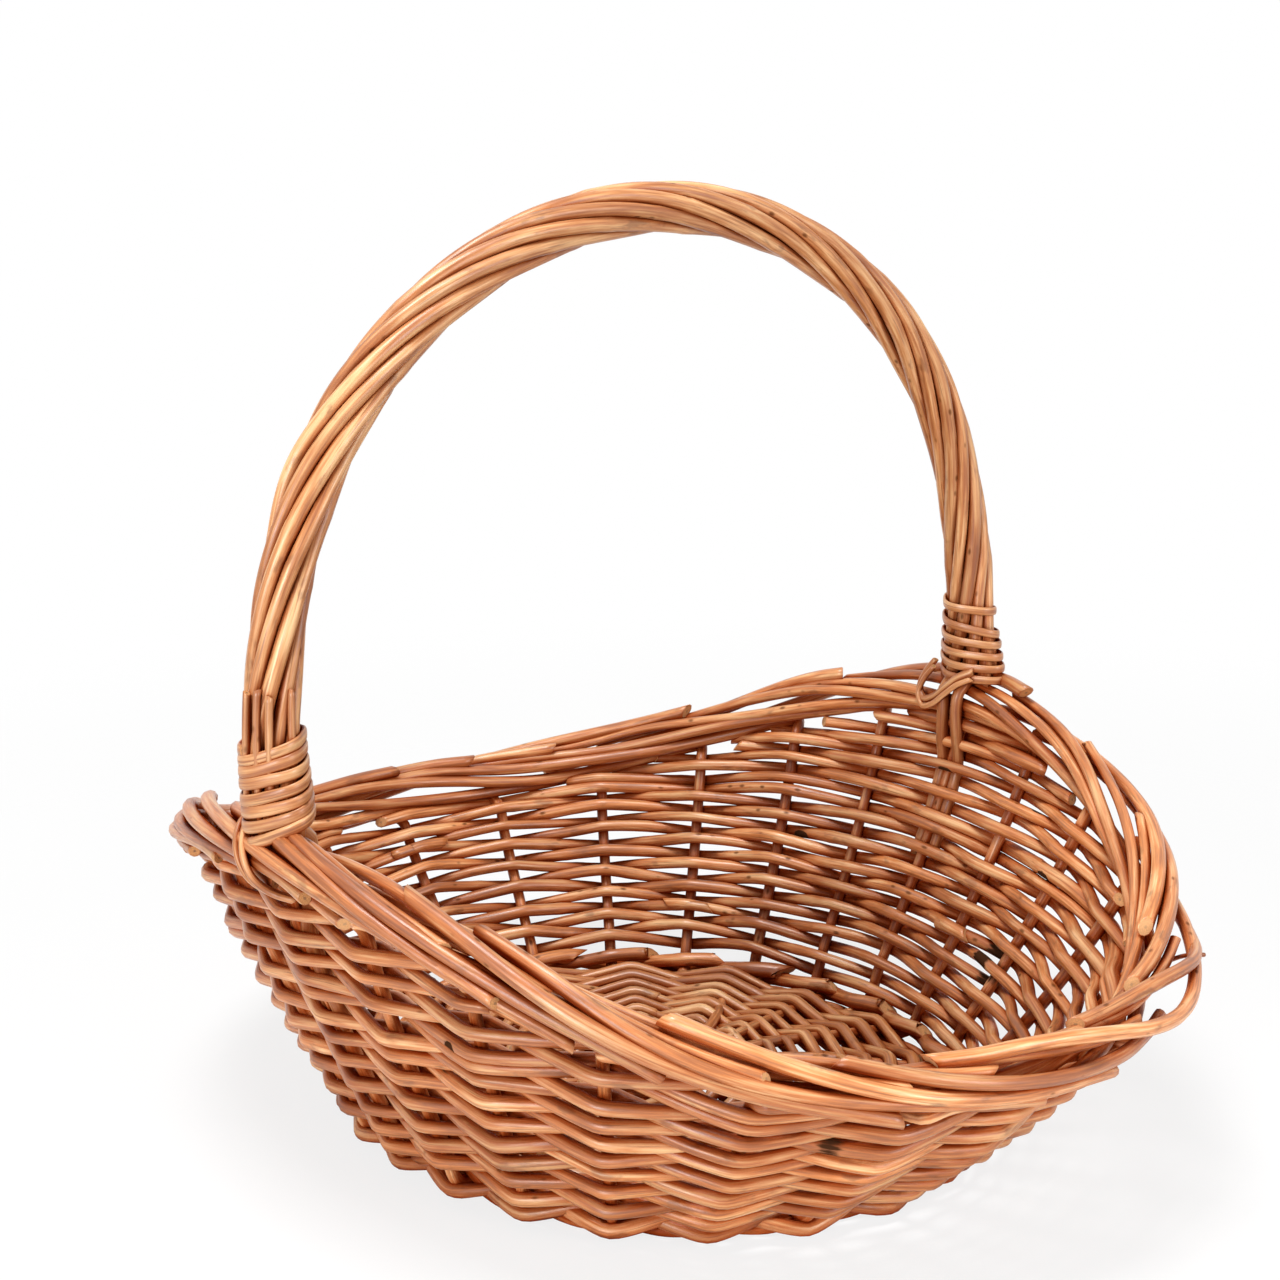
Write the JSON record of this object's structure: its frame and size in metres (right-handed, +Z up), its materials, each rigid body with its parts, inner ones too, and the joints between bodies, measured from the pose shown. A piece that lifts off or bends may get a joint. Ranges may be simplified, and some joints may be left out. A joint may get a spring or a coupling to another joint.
{
  "type": "flower basket",
  "caption": "Oval flower basket of woven peeled willow with flared open sides, a saddle-shaped rolled border and a fixed bow handle bound at its feet.",
  "frame": {"origin": "centre of the bounding box at the underside of the foot rod, where the basket stands", "axes": "+Z up, +X along the long axis of the oval, the handle arch in the YZ plane"},
  "size_m": [0.245, 0.214, 0.2122],
  "materials": {
    "willow": "semi-gloss peeled willow",
    "pale": "semi-gloss split willow",
    "green": "satin thin willow"
  },
  "bodies": {
    "root": {"base_stick_1": "pale", "base_stick_2": "pale", "base_stick_3": "pale", "base_stick_4": "pale", "base_stick_5": "pale", "base_stick_6": "pale", "base_stick_7": "pale", "base_stick_8": "pale", "base_weaver_a": "green", "base_weaver_b": "green", "foot_rod": "willow", "handle_binding_left": "pale", "handle_binding_right": "pale", "handle_core": "willow", "handle_rod_1": "willow", "handle_rod_2": "willow", "handle_rod_3": "willow", "handle_rod_4": "willow", "handle_rod_5": "willow", "handle_rod_6": "willow", "packing_rod_left": "willow", "packing_rod_right": "willow", "side_weaver_a1": "willow", "side_weaver_a2": "willow", "side_weaver_a3": "willow", "side_weaver_a4": "willow", "side_weaver_b1": "willow", "side_weaver_b2": "willow", "side_weaver_b3": "willow", "side_weaver_b4": "willow", "stake_01": "willow", "stake_02": "willow", "stake_03": "willow", "stake_04": "willow", "stake_05": "willow", "stake_06": "willow", "stake_07": "willow", "stake_08": "willow", "stake_09": "willow", "stake_10": "willow", "stake_11": "willow", "stake_12": "willow", "stake_13": "willow", "stake_14": "willow", "stake_15": "willow", "stake_16": "willow", "stake_17": "willow", "stake_18": "willow", "stake_19": "willow", "stake_20": "willow", "stake_21": "willow", "stake_22": "willow", "stake_23": "willow", "stake_24": "willow"}
  },
  "joints": []
}
